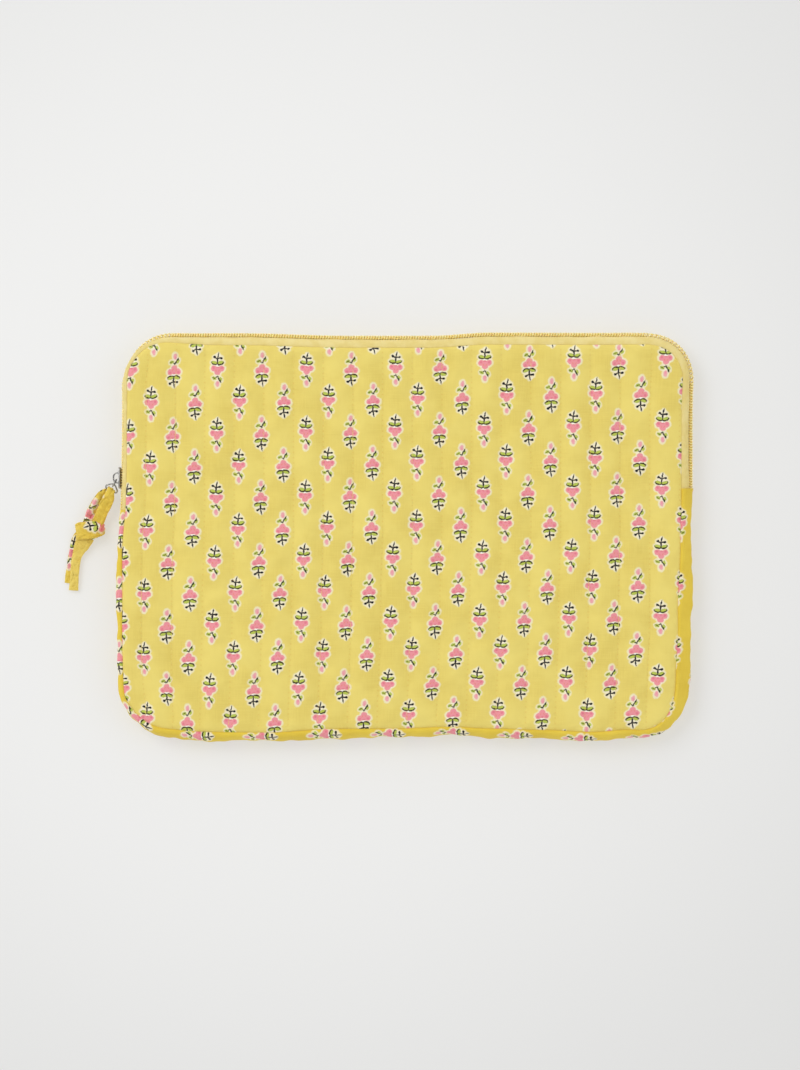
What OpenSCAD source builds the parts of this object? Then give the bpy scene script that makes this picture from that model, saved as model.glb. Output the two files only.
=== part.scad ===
// Quilted laptop sleeve with a zip round three sides, lying on its back panel.
// Origin: centre of the back panel's outer face. +X right, +Y to the zipped top, +Z to the front panel.

/* [Sleeve] */
// Width over the rim, left to right
sleeve_w = 344; // [320:1:400]
// Height over the rim, bottom to top
sleeve_h = 244; // [225:1:290]
// Thickness lying flat, back face to front face
sleeve_t = 20; // [19:0.5:22]
// Radius of the sleeve's outer corners
corner_r = 29; // [26:1:40]

/* [Quilted panels] */
// Thickness of the printed cotton
cover_t = 0.6; // [0.4:0.1:0.8]
// Thickness of the padding in the front and back panels
batting_t = 3.2; // [3:0.1:3.6]
// Thickness of the lining cloth
lining_t = 0.6; // [0.4:0.1:0.8]
// Radius of the rolled edge of a panel
edge_r = 3; // [2.6:0.1:3]
// Distance between rows of quilting
quilt_pitch = 17.85; // [14:0.05:22]
// Rows of quilting on each panel
quilt_rows = 18; // [10:1:18]
// Sideways shift of the middle of the rows
quilt_shift = -5.5; // [-8:0.5:3]

/* [Gusset and zip] */
// How far the rim bulges out past the panel seams
rim_bulge = 5.6; // [5:0.1:6]
// Thickness of the padding in the gusset
gusset_batting_t = 2; // [1.5:0.1:2.4]
// Height of the left end of the zip above the middle
zip_left_y = 15; // [5:1:20]
// Height of the right end of the zip above the middle
zip_right_y = 28; // [15:1:32]
// Height of the line where the open front panel folds
fold_y = 46; // [45:1:60]
// Thickness of the zip tape
tape_t = 0.6; // [0.5:0.05:0.8]
// Thickness of the nylon coil
coil_t = 1.8; // [1.5:0.1:1.9]
// Height of one half of the coil
coil_h = 2.4; // [2:0.1:2.6]
// Gap between the two halves of the coil
coil_gap = 1.4; // [1.3:0.1:1.6]
// Width of the binding on the inside seams
binding_w = 8; // [6:0.5:10]
// Thickness of the binding with the seam allowance inside
binding_t = 1.6; // [1.2:0.1:2]

/* [Slider and pull] */
// Height of the slider above the middle, zip closed
slider_y = 36; // [34:0.5:36]
// Length of the slider
slider_len = 13; // [12:0.5:13]
// Width of the slider across the coil
slider_w = 9.2; // [8.6:0.1:9.6]
// Radius of the wire of the link and the ring
wire_r = 0.45; // [0.35:0.05:0.5]
// Length of the link between its two ends
link_len = 4.6; // [4.4:0.1:5]
// Length of the ring from the link to its bar
ring_len = 4.2; // [4:0.1:5]
// Width of the ring at its bar
ring_w = 7.6; // [7.6:0.1:9]
// Angle of the pull from the sleeve's side
pull_angle = 28.7; // [28:0.1:60]
// Angle of the ring below level
ring_dip = 25; // [10:1:30]
// Width of the folded cotton strip
strap_w = 6.2; // [5:0.1:6.2]

/* [Hidden] */
$fn = 64;

cloth = "#e7d372";
batting_white = "#f4f1ea";
lining_cream = "#f0e6c4";
zip_yellow = "#e6c865";
silver = "#b9bbbe";

mid_z = sleeve_t / 2;
panel_t = cover_t + batting_t + lining_t;

// The rim's section is an arc about a centre line that runs inside the rim.
gusset_r = 11;
line_x = sleeve_w / 2 - gusset_r;
line_y = sleeve_h / 2 - gusset_r;
seam_offset = gusset_r - rim_bulge;
corner_cx = sleeve_w / 2 - corner_r;
corner_cy = sleeve_h / 2 - corner_r;
gusset_t = cover_t + gusset_batting_t + lining_t;
tape_r = 9.4;

panel_w = 2 * (line_x + seam_offset);
panel_h = 2 * (line_y + seam_offset);
panel_corner_r = panel_w / 2 - corner_cx;

fold_gap = 0.3;
thread_w = 0.5;
thread_h = 0.25;
thread_end = 2;

// The slider's two plates lie outside and inside the coil.
plate_t = 1.2;
inner_plate_t = 1;
inner_plate_w = 7.6;
outer_plate_x = -(line_x + tape_r + coil_t + 0.3);
inner_plate_x = -(line_x + tape_r - tape_t - 1.2);
bridge_t = 0.7;
crown_t = 2.2;
crown_r = 2.5;
eye_r = 1.5;
crown_straight = 2;
crown_x = outer_plate_x - 2.4;
pivot_x = crown_x - 0.3;
pivot_y = slider_y - 1;
link_h = 4;
ring_apex_s = link_len - 2 * wire_r - 0.15;
ring_apex_w = 1.15; // half the width of the ring's short side
ring_shoulder = 1.6; // length of the sides that run straight into the bar
ring_bend = 0.7;
bar_s = ring_apex_s + ring_len * cos(ring_dip);
bar_z = mid_z - ring_len * sin(ring_dip);
strap_t = 1.2;
knot_s = 34;
knot_z = 4;

// ---- Outlines and sweeps ----

module rounded_rect(w, h, r) {
    square([w - 2 * r, h], center = true);
    square([w, h - 2 * r], center = true);
    for (x = [-1, 1], y = [-1, 1])
        translate([x * (w / 2 - r), y * (h / 2 - r)]) circle(r);
}

// A panel's outline, drawn in by a margin.
module panel_2d(margin = 0) {
    rounded_rect(panel_w - 2 * margin, panel_h - 2 * margin, panel_corner_r - margin);
}

// Keeps the part of a panel above or below the fold line.
module above_fold() {
    intersection() {
        children();
        translate([-sleeve_w, fold_y + fold_gap, -1]) cube([2 * sleeve_w, sleeve_h, sleeve_t + 2]);
    }
}

module below_fold() {
    intersection() {
        children();
        translate([-sleeve_w, fold_y - 2 * sleeve_h, -1]) cube([2 * sleeve_w, 2 * sleeve_h, sleeve_t + 2]);
    }
}

// The sweeps below take a section drawn with X outwards from the rim's centre line and Y upwards.
module along_side(side, y0, y1) {
    mirror([side < 0 ? 1 : 0, 0, 0])
        translate([line_x, y1, mid_z]) rotate([90, 0, 0]) linear_extrude(y1 - y0) children();
}

module along_end(end) {
    mirror([0, end < 0 ? 1 : 0, 0])
        translate([-corner_cx, line_y, mid_z]) rotate([90, 0, 90]) linear_extrude(2 * corner_cx) children();
}

module round_corner(side, end) {
    mirror([side < 0 ? 1 : 0, 0, 0]) mirror([0, end < 0 ? 1 : 0, 0])
        translate([corner_cx, corner_cy, mid_z])
            rotate_extrude(angle = 90) translate([line_x - corner_cx, 0]) children();
}

module all_round() {
    for (side = [-1, 1]) along_side(side, -corner_cy, corner_cy) children();
    for (end = [-1, 1]) along_end(end) children();
    for (side = [-1, 1], end = [-1, 1]) round_corner(side, end) children();
}

// The stretch of zip that opens with the front panel.
module flap_run() {
    for (side = [-1, 1]) along_side(side, fold_y + fold_gap, corner_cy) children();
    along_end(1) children();
    for (side = [-1, 1]) round_corner(side, 1) children();
}

// The short ends of the zip between the gusset and the fold line.
module zip_ends() {
    along_side(-1, zip_left_y, fold_y) children();
    along_side(1, zip_right_y, fold_y) children();
}

module zip_run() {
    along_side(-1, zip_left_y, corner_cy) children();
    along_side(1, zip_right_y, corner_cy) children();
    along_end(1) children();
    for (side = [-1, 1]) round_corner(side, 1) children();
}

module gusset_run() {
    along_side(-1, -corner_cy, zip_left_y) children();
    along_side(1, -corner_cy, zip_right_y) children();
    along_end(-1) children();
    for (side = [-1, 1]) round_corner(side, -1) children();
}

// ---- Sections ----

// A curved band of the rim between two radii, from one height to another, outside the seam.
module band_2d(r_in, r_out, low, high) {
    intersection() {
        difference() {
            circle(r_out);
            circle(r_in);
        }
        translate([seam_offset, low]) square([gusset_r, high - low]);
    }
}

module tape_2d(face) {
    mirror([0, face < 0 ? 1 : 0]) band_2d(tape_r - tape_t, tape_r, coil_gap / 2 + 0.2, tape_r);
}

module coil_2d(face) {
    mirror([0, face < 0 ? 1 : 0])
        band_2d(tape_r, tape_r + coil_t, coil_gap / 2, coil_gap / 2 + coil_h);
}

// Part of a panel's rolled edge: a quarter ring, or a quarter disc when r_in is 0.
module rolled_2d(face, r_in, r_out) {
    translate([seam_offset - edge_r, face * (mid_z - edge_r)]) intersection() {
        difference() {
            circle(r_out);
            if (r_in > 0) circle(r_in);
        }
        translate([0, face > 0 ? 0 : -edge_r]) square(edge_r);
    }
}

// ---- Panels, as layers from the outside in. face is 1 for the front, -1 for the back. ----

module slab(face, depth, t, margin) {
    z = face > 0 ? sleeve_t - depth - t : depth;
    translate([0, 0, z]) linear_extrude(t) panel_2d(margin);
}

// Half the length of a row of quilting at x, inside the rolled edge.
function row_half(x) = let (flat_r = panel_corner_r - edge_r, over = max(0, abs(x) - corner_cx))
    corner_cy + sqrt(max(0, flat_r * flat_r - over * over)) - thread_end;

module quilting(face) {
    z = face > 0 ? sleeve_t - thread_h : 0;
    for (i = [0 : quilt_rows - 1]) {
        x = quilt_shift + (i - (quilt_rows - 1) / 2) * quilt_pitch;
        translate([x - thread_w / 2, -row_half(x), z]) cube([thread_w, 2 * row_half(x), thread_h]);
    }
}

module panel_cover(face) {
    difference() {
        union() {
            slab(face, 0, cover_t, edge_r);
            all_round() rolled_2d(face, edge_r - cover_t, edge_r);
        }
        quilting(face);
    }
}

module panel_batting(face) {
    union() {
        slab(face, cover_t, batting_t, edge_r);
        all_round() rolled_2d(face, 0, edge_r - cover_t);
        all_round() translate([seam_offset - edge_r, face > 0 ? mid_z - panel_t + lining_t : edge_r - mid_z])
            square([edge_r, panel_t - lining_t - edge_r]);
    }
}

module panel_lining(face) {
    slab(face, cover_t + batting_t, lining_t, 0);
}

module seam_binding(face) {
    z = face > 0 ? sleeve_t - panel_t - binding_t : panel_t;
    translate([0, 0, z]) linear_extrude(binding_t) difference() {
        panel_2d(1.5);
        panel_2d(1.5 + binding_w);
    }
}

module back_cover() { color(cloth) panel_cover(-1); }
module back_batting() { color(batting_white) panel_batting(-1); }
module back_lining() { color(lining_cream) panel_lining(-1); }
module back_quilting_thread() { color(cloth) quilting(-1); }
module back_seam_binding() { color(cloth) seam_binding(-1); }

module front_cover() { color(cloth) below_fold() panel_cover(1); }
module front_batting() { color(batting_white) below_fold() panel_batting(1); }
module front_lining() { color(lining_cream) below_fold() panel_lining(1); }
module front_quilting_thread() { color(cloth) below_fold() quilting(1); }
module front_seam_binding() { color(cloth) below_fold() seam_binding(1); }

module flap_cover() { color(cloth) above_fold() panel_cover(1); }
module flap_batting() { color(batting_white) above_fold() panel_batting(1); }
module flap_lining() { color(lining_cream) above_fold() panel_lining(1); }
module flap_quilting_thread() { color(cloth) above_fold() quilting(1); }
module flap_seam_binding() { color(cloth) above_fold() seam_binding(1); }

// ---- Rim ----

module gusset_cover() {
    color(cloth) gusset_run() band_2d(gusset_r - cover_t, gusset_r, -gusset_r, gusset_r);
}

module gusset_batting() {
    color(batting_white) gusset_run()
        band_2d(gusset_r - cover_t - gusset_batting_t, gusset_r - cover_t, -gusset_r, gusset_r);
}

module gusset_lining() {
    color(lining_cream) gusset_run()
        band_2d(gusset_r - gusset_t, gusset_r - gusset_t + lining_t, -gusset_r, gusset_r);
}

module zip_tape_back() { color(zip_yellow) zip_run() tape_2d(-1); }
module zip_tape_front_ends() { color(zip_yellow) zip_ends() tape_2d(1); }
module zip_tape_flap() { color(zip_yellow) flap_run() tape_2d(1); }
module zip_coil_back() { color(zip_yellow) zip_run() coil_2d(-1); }
module zip_coil_front_ends() { color(zip_yellow) zip_ends() coil_2d(1); }
module zip_coil_flap() { color(zip_yellow) flap_run() coil_2d(1); }

// ---- Slider ----

// A slider plate, wide at the end that closes the zip and narrow at its tail.
module plate_2d(width) {
    w = width / 2;
    l = slider_len / 2;
    polygon([[-l, -w * 0.55], [-l + 1.4, -w * 0.95], [-l + 3, -w], [l - 5, -w * 0.8], [l - 0.8, -w * 0.72],
        [l, -w * 0.5], [l, w * 0.5], [l - 0.8, w * 0.72], [l - 5, w * 0.8], [-l + 3, w],
        [-l + 1.4, w * 0.95], [-l, w * 0.55]]);
}

// Stands a plate on the rim's left side, its length along Y and its thickness along X.
module stand_plate(x, t, width) {
    translate([x, slider_y, mid_z]) rotate([90, 0, 90]) linear_extrude(t) plate_2d(width);
}

module stadium_2d(r, straight) {
    square([2 * r, straight], center = true);
    for (y = [-1, 1]) translate([0, y * straight / 2]) circle(r);
}

module crown() {
    translate([crown_x, slider_y, mid_z - crown_t / 2]) linear_extrude(crown_t) intersection() {
        difference() {
            stadium_2d(crown_r, crown_straight);
            stadium_2d(eye_r, crown_straight);
        }
        translate([-10, -10]) square([10 + outer_plate_x - crown_x, 20]);
    }
}

module slider_body() {
    color(silver) union() {
        stand_plate(outer_plate_x - plate_t, plate_t, slider_w);
        stand_plate(inner_plate_x, inner_plate_t, inner_plate_w);
        translate([outer_plate_x - 0.2, slider_y - slider_len / 2 + 0.6, mid_z - bridge_t / 2])
            cube([inner_plate_x - outer_plate_x + 0.4, 3.5, bridge_t]);
        crown();
    }
}

// ---- Pull, in a frame with X along the pull from the link's pivot, Y across it and Z up ----

module pull_frame() {
    translate([pivot_x, pivot_y, 0]) rotate([0, 0, 270 - pull_angle]) children();
}

module half_link_end() {
    rotate([90, 0, 0]) rotate([0, 0, 90])
        rotate_extrude(angle = 180) translate([link_h / 2, 0]) circle(wire_r, $fn = 32);
}

module pull_link() {
    straight = link_len - link_h;
    color(silver) pull_frame() translate([link_h / 2, 0, mid_z]) union() {
        half_link_end();
        translate([straight, 0, 0]) rotate([0, 0, 180]) half_link_end();
        for (z = [-1, 1]) translate([0, 0, z * link_h / 2]) rotate([0, 90, 0])
            cylinder(r = wire_r, h = straight, $fn = 32);
    }
}

// ---- Bent wire: a closed loop that turns left at each corner, on bends of one radius ----

function unit(v) = v / norm(v);
function way_out(corners, i) = unit(corners[(i + 1) % len(corners)] - corners[i]);
function way_in(corners, i) = way_out(corners, (i + len(corners) - 1) % len(corners));
function turn_at(corners, i) = acos(way_in(corners, i) * way_out(corners, i));
function bend_start(corners, i, bend) = bend * tan(turn_at(corners, i) / 2);

module bent_loop(corners, bend) {
    for (i = [0 : len(corners) - 1]) {
        next = (i + 1) % len(corners);
        along = way_in(corners, i);
        out = way_out(corners, i);
        translate(corners[i] - along * bend_start(corners, i, bend) + [-along[1], along[0]] * bend)
            rotate(atan2(along[1], along[0]) - 90) rotate_extrude(angle = turn_at(corners, i), $fn = 48)
                translate([bend, 0]) circle(wire_r, $fn = 24);
        translate(corners[i] + out * bend_start(corners, i, bend)) rotate(atan2(out[1], out[0]))
            rotate([0, 90, 0]) cylinder(r = wire_r, $fn = 24, h = norm(corners[next] - corners[i])
                - bend_start(corners, i, bend) - bend_start(corners, next, bend));
    }
}

module pull_ring() {
    color(silver) pull_frame() translate([ring_apex_s, 0, mid_z]) rotate([0, ring_dip, 0])
        bent_loop([[ring_len, ring_w / 2], [ring_len - ring_shoulder, ring_w / 2], [0, ring_apex_w],
            [0, -ring_apex_w], [ring_len - ring_shoulder, -ring_w / 2], [ring_len, -ring_w / 2]], ring_bend);
}

// A flat strip between two places, each [along, across, height of its underside].
module strip(a, b, t = strap_t) {
    hull() for (p = [a, b]) translate([p[0] - 0.5, p[1] - strap_w / 2, p[2]]) cube([1, strap_w, t]);
}

module pull_strap() {
    wrap_in = wire_r + 0.2;
    wrap_out = wrap_in + 0.8;
    color(cloth) pull_frame() union() {
        translate([bar_s, strap_w / 2, bar_z]) rotate([90, 0, 0]) linear_extrude(strap_w) difference() {
            circle(wrap_out, $fn = 32);
            circle(wrap_in, $fn = 32);
        }
        strip([bar_s + wrap_in + 0.7, 0, bar_z + 0.2], [knot_s - 4, 2.2, knot_z], 1);
        strip([bar_s + wrap_in + 0.7, 0, bar_z - 1.2], [knot_s - 4, -3.4, knot_z - 2], 1);
        hull() for (y = [-5, 0, 5])
            translate([knot_s - 0.1 * abs(y), y, knot_z]) scale([1, 1, 0.95 - abs(y) / 40])
                sphere(4.2, $fn = 32);
        strip([knot_s + 2, 0, 2.4], [54, 3, 0], 2.2);
        strip([54, 3, 0], [70, 10.6, 0], 2.2);
        strip([knot_s + 2, -2.5, 2.6], [58, 0, 0], 2.2);
        strip([58, 0, 0], [67, 4.7, 0], 2.2);
    }
}

back_cover();
back_batting();
back_lining();
back_quilting_thread();
back_seam_binding();
front_cover();
front_batting();
front_lining();
front_quilting_thread();
front_seam_binding();
flap_cover();
flap_batting();
flap_lining();
flap_quilting_thread();
flap_seam_binding();
gusset_cover();
gusset_batting();
gusset_lining();
zip_tape_back();
zip_tape_front_ends();
zip_tape_flap();
zip_coil_back();
zip_coil_front_ends();
zip_coil_flap();
slider_body();
pull_link();
pull_ring();
pull_strap();
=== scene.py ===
"""A quilted cotton laptop sleeve with a coil zip and a knotted cotton pull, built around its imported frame.

Sizes here are in millimetres, and become metres where a mesh is made.
"""
import math
import bmesh
import bpy
import numpy as np
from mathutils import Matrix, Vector


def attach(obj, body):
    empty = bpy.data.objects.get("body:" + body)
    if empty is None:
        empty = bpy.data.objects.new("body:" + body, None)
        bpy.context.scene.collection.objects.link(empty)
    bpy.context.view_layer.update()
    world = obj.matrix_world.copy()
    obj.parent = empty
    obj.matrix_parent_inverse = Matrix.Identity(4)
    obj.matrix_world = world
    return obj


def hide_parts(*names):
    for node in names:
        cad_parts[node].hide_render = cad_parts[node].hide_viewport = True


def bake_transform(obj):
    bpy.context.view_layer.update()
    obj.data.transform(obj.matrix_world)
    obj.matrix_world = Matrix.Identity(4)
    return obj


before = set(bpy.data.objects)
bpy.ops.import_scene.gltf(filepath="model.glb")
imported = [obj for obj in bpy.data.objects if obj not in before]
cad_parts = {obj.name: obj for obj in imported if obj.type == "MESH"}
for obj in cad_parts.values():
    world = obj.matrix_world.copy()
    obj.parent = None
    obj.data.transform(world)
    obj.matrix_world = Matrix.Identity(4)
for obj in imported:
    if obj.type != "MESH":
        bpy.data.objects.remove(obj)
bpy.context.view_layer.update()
MM = 0.001

# ------------ sizes from the frame, in mm
PITCH, ROWS, SHIFT = 17.85, 18, -5.5  # quilting rows
HALF_W, HALF_H, PANEL_R = 166.4, 116.4, 23.4  # seam outline of a panel
LINE_W, LINE_H, LINE_R = 161.0, 111.0, 18.0  # centre line of the rim
ZIP_LEFT, ZIP_RIGHT = 15.0, 28.0  # y of the zip's two ends
TOP, MID, FRONT_SEAM_Z, BACK_SEAM_Z = 20.0, 10.0, 17.45, 2.55  # heights
COVER_T, LINING_T, TAPE_T = 0.5, 0.35, 0.45  # thicknesses
COIL_PITCH = 1.6
STITCH, THREAD_R = 3.2, 0.15
PIVOT = np.array([-175.2, 35.0, 0.0])  # under the middle of the slider's crown
PULL_ANGLE = math.radians(28.7)
ALONG = np.array([-math.sin(PULL_ANGLE), -math.cos(PULL_ANGLE), 0.0])
ACROSS = np.array([math.cos(PULL_ANGLE), -math.sin(PULL_ANGLE), 0.0])


def step(a, b, x):
    """0 before a and 1 after b, smooth between them."""
    t = np.clip((x - a) / (b - a), 0, 1)
    return t * t * (3 - 2 * t)


def curve(x, *pairs):
    """A smooth line through a few (place, value) pairs."""
    out = np.full(np.shape(x), float(pairs[0][1]))
    for (a, va), (b, vb) in zip(pairs[:-1], pairs[1:]):
        out += (vb - va) * step(a, b, x)
    return out


def ripple(x, y, wave, seed):
    """Soft unevenness of about one unit, with bumps about a wave apart."""
    rng = np.random.default_rng(seed)
    out = np.zeros(np.broadcast(x, y).shape)
    n = 9
    for _ in range(n):
        turn, phase = rng.uniform(0, 2 * math.pi, 2)
        k = 2 * math.pi / (wave * rng.uniform(0.7, 1.5))
        out += np.sin(k * (x * math.cos(turn) + y * math.sin(turn)) + phase)
    return out * math.sqrt(2 / n)


def near(x, y, at_x, at_y, spread):
    """1 at a place, and less the further from it."""
    return np.exp(-((x - at_x) ** 2 + (y - at_y) ** 2) / spread ** 2)


def power(v, exponent):
    """A power that keeps the sign, to square off a circle's sine and cosine."""
    return np.sign(v) * np.abs(v) ** exponent


def angles(n):
    """Even angles round a circle."""
    return np.linspace(0, 2 * math.pi, n, endpoint=False)


def edge_distance(x, y):
    """How far inside a panel's seam outline a point is."""
    qx, qy = np.abs(x) - (HALF_W - PANEL_R), np.abs(y) - (HALF_H - PANEL_R)
    beyond = np.hypot(np.maximum(qx, 0), np.maximum(qy, 0)) + np.minimum(np.maximum(qx, qy), 0)
    return PANEL_R - beyond


CORNER_X, CORNER_Y = 157, 107  # the middle of a corner's rounding


def slip(x, y):
    """How far the front panel lies off the back one, at its edges."""
    left = step(-128, -166, x) * curve(y, (-110, -1.4), (-96, -2.2), (44, -2.2), (64, -2.5), (88, -2.3),
                                       (104, -3.3))
    right = step(128, 166, x) * curve(y, (-40, -3.6), (-5, -1.8), (25, -1.1))
    top = step(88, 116, y) * curve(x, (-152, 0.4), (-112, -1.4))
    low = step(-88, -116, y) * 0.2
    low_left, low_right = near(x, y, -CORNER_X, -CORNER_Y, 24), near(x, y, 152, -105, 20)
    return left + right - 0.8 * low_left + 0.4 * low_right, top + low - 0.4 * low_left - 1.4 * low_right


def warp(p):
    """The real sleeve is no perfect rectangle: every fabric point moves by this, the same at each height but
    for the front's slip. The left side stays straight up to y = 91, where the slider runs."""
    p = np.array(p, float)
    x, y, z = p[:, 0].copy(), p[:, 1].copy(), p[:, 2]
    left = curve(y, (-122, -1.2), (-88, -2.5), (-60, -2.6), (-9, -2.6), (26, -0.2), (44, 0.2), (64, 0.5),
                 (91, 0.65), (99, 1.7), (106, 2.7))
    middle = curve(y, (-122, -3.4), (-40, -1.2), (10, 0))
    right = curve(y, (-100, -2.2), (-81, -0.9), (-56, 0.5), (-32, 0.5), (-12, 0.3), (6, 0.1))
    wl, wr = step(-110, -168, x), step(110, 168, x)
    dx = middle * (1 - wl) * (1 - wr) + left * wl + right * wr
    top = curve(x, (-150, 0.6), (-100, 0.7), (-35, -0.8), (15, -0.8), (50, 1.1), (130, 0.9), (150, 0.2))
    low = curve(x, (-150, 0.2), (-118, -0.9), (-80, -1.2), (-40, 1.0), (0, 1.3), (30, 2.3), (55, 1.2),
                (85, 0.4), (115, -0.8), (140, 1.4))
    wt, wb = step(60, 118, y), step(-60, -118, y)
    dy = top * wt + low * wb
    for cx, cy, out, spread in ((1, 1, 2.4, 19), (-1, 1, 0.7, 19), (1, -1, 0.6, 24), (-1, -1, -3.2, 24)):
        share = near(x, y, cx * CORNER_X, cy * CORNER_Y, spread)
        dx += out * 0.7 * cx * share
        dy += out * 0.7 * cy * share
    front = step(13.6, 18.0, z)
    sx, sy = slip(x, y)
    p[:, 0] += dx + sx * front
    p[:, 1] += dy + sy * front
    return p


# ------------ meshes

def mesh_object(name, verts, faces, cloth=None):
    """A smooth mesh from points in mm. cloth is each point's place on its flat cloth, for the materials."""
    me = bpy.data.meshes.new(name)
    me.from_pydata((np.asarray(verts, float) * MM).tolist(), [], [tuple(int(i) for i in f) for f in faces])
    me.validate()
    me.update()
    if cloth is not None:
        a = me.attributes.new("cloth", "FLOAT_VECTOR", "POINT")
        a.data.foreach_set("vector", (np.asarray(cloth, np.float32) * MM).ravel())
    me.polygons.foreach_set("use_smooth", np.ones(len(me.polygons), bool))
    ob = bpy.data.objects.new(name, me)
    bpy.context.scene.collection.objects.link(ob)
    return ob


def grid_faces(n, m, wrap_n=False, wrap_m=False, base=0):
    """Faces between n rows of m points, the first of which has the number base."""
    idx = base + np.arange(n * m).reshape(n, m)
    a = np.concatenate([idx, idx[:1]], 0) if wrap_n else idx
    a = np.concatenate([a, a[:, :1]], 1) if wrap_m else a
    return np.stack([a[:-1, :-1], a[1:, :-1], a[1:, 1:], a[:-1, 1:]], -1).reshape(-1, 4)


def tube(rings, closed=False, base=0):
    """Faces of a tube from rings of points, (n, m, 3), capped by fans unless closed."""
    n, m, _ = rings.shape
    faces = [tuple(f) for f in grid_faces(n, m, wrap_n=closed, wrap_m=True, base=base)]
    verts = rings.reshape(-1, 3)
    if not closed:
        caps = np.stack([rings[0].mean(0), rings[-1].mean(0)])
        verts = np.concatenate([verts, caps])
        a, b = base + n * m, base + n * m + 1
        faces += [(a, base + (j + 1) % m, base + j)[::-1] for j in range(m)]
        last = base + (n - 1) * m
        faces += [(b, last + j, last + (j + 1) % m)[::-1] for j in range(m)]
    return verts, faces


def unit(v):
    return v / np.maximum(np.linalg.norm(v, axis=-1, keepdims=True), 1e-9)


def resample(points, spacing=None, count=None):
    """A smooth curve through the points (their first three columns), at even spacing along it."""
    p = np.asarray(points, float)
    ext = np.concatenate([2 * p[:1] - p[1:2], p, 2 * p[-1:] - p[-2:-1]])
    fine = []
    t = np.linspace(0, 1, 25)[:-1, None]
    for i in range(len(p) - 1):
        a, b, c, d = ext[i:i + 4]
        fine.append(0.5 * (2 * b + (c - a) * t + (2 * a - 5 * b + 4 * c - d) * t ** 2
                           + (3 * b - a - 3 * c + d) * t ** 3))
    fine = np.concatenate(fine + [p[-1:]])
    s = np.concatenate([[0], np.cumsum(np.linalg.norm(np.diff(fine[:, :3], axis=0), axis=1))])
    count = count or max(4, int(round(s[-1] / spacing)) + 1)
    at = np.linspace(0, s[-1], count)
    return np.stack([np.interp(at, s, fine[:, k]) for k in range(fine.shape[1])], -1), at


def wire(path, radius, sides, closed=False):
    """Rings of a round wire along a path."""
    path = np.asarray(path, float)
    if closed:
        tangent = unit(np.roll(path, -1, 0) - np.roll(path, 1, 0))
    else:
        tangent = unit(np.gradient(path, axis=0))
    side = unit(np.cross(tangent, [0.31, 0.22, 0.92]))
    for i in range(1, len(path)):  # carried along the wire, so that it doesn't twist
        s = side[i - 1] - tangent[i] * (side[i - 1] @ tangent[i])
        side[i] = s / np.linalg.norm(s)
    up = np.cross(tangent, side)
    a = angles(sides)
    r = np.broadcast_to(radius, (len(path),))[:, None, None]
    across, above = np.cos(a)[None, :, None] * side[:, None], np.sin(a)[None, :, None] * up[:, None]
    return path[:, None] + r * (across + above)


def pull(p):
    """From the pull's own (along, across, height) to the row frame."""
    p = np.asarray(p, float)
    return PIVOT + p[..., :1] * ALONG + p[..., 1:2] * ACROSS + p[..., 2:3] * np.array([0, 0, 1.0])


def apply_modifiers(ob):
    dg = bpy.context.evaluated_depsgraph_get()
    new = bpy.data.meshes.new_from_object(ob.evaluated_get(dg), preserve_all_data_layers=True, depsgraph=dg)
    old = ob.data
    ob.modifiers.clear()
    ob.data = new
    bpy.data.meshes.remove(old)


def thicken(ob, thickness):
    """Gives a sheet its thickness, on its inner side."""
    m = ob.modifiers.new("thickness", "SOLIDIFY")
    m.thickness, m.offset = thickness * MM, -1.0
    apply_modifiers(ob)
    return ob


def outward(ob):
    """Turns the faces of a closed mesh outwards."""
    b = bmesh.new()
    b.from_mesh(ob.data)
    bmesh.ops.recalc_face_normals(b, faces=b.faces)
    b.to_mesh(ob.data)
    b.free()
    return ob


# ------------ node materials

def put(nt, socket, value):
    if isinstance(value, bpy.types.NodeSocket):
        nt.links.new(value, socket)
    else:
        socket.default_value = value


def calc(nt, op, a, b=0.0, c=0.0):
    n = nt.nodes.new("ShaderNodeMath")
    n.operation = op
    for s, v in zip(n.inputs, (a, b, c)):
        put(nt, s, v)
    return n.outputs[0]


def ease(nt, x, a, b, low=0.0, high=1.0):
    n = nt.nodes.new("ShaderNodeMapRange")
    n.interpolation_type = "SMOOTHSTEP"
    for key, v in (("Value", x), ("From Min", a), ("From Max", b), ("To Min", low), ("To Max", high)):
        put(nt, n.inputs[key], v)
    return n.outputs[0]


def blend_colour(nt, share, a, b):
    n = nt.nodes.new("ShaderNodeMix")
    n.data_type = "RGBA"
    put(nt, n.inputs[0], share)
    put(nt, n.inputs[6], a)
    put(nt, n.inputs[7], b)
    return n.outputs[2]


def vector(nt, x, y, z=0.0):
    n = nt.nodes.new("ShaderNodeCombineXYZ")
    for s, v in zip(n.inputs, (x, y, z)):
        put(nt, s, v)
    return n.outputs[0]


def cloth_place(nt):
    """The place on the flat cloth, in mm: two numbers."""
    a = nt.nodes.new("ShaderNodeAttribute")
    a.attribute_name = "cloth"
    s = nt.nodes.new("ShaderNodeSeparateXYZ")
    nt.links.new(a.outputs["Vector"], s.inputs[0])
    return calc(nt, "MULTIPLY", s.outputs[0], 1000.0), calc(nt, "MULTIPLY", s.outputs[1], 1000.0)


def cloud(nt, place, scale, detail=3.0, rough=0.55):
    n = nt.nodes.new("ShaderNodeTexNoise")
    n.inputs["Scale"].default_value = scale
    n.inputs["Detail"].default_value = detail
    n.inputs["Roughness"].default_value = rough
    nt.links.new(place, n.inputs["Vector"])
    return n.outputs["Fac"]


def srgb(r, g, b):
    def one(c):
        c /= 255
        return c / 12.92 if c <= 0.04045 else ((c + 0.055) / 1.055) ** 2.4
    return (one(r), one(g), one(b), 1.0)


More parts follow.
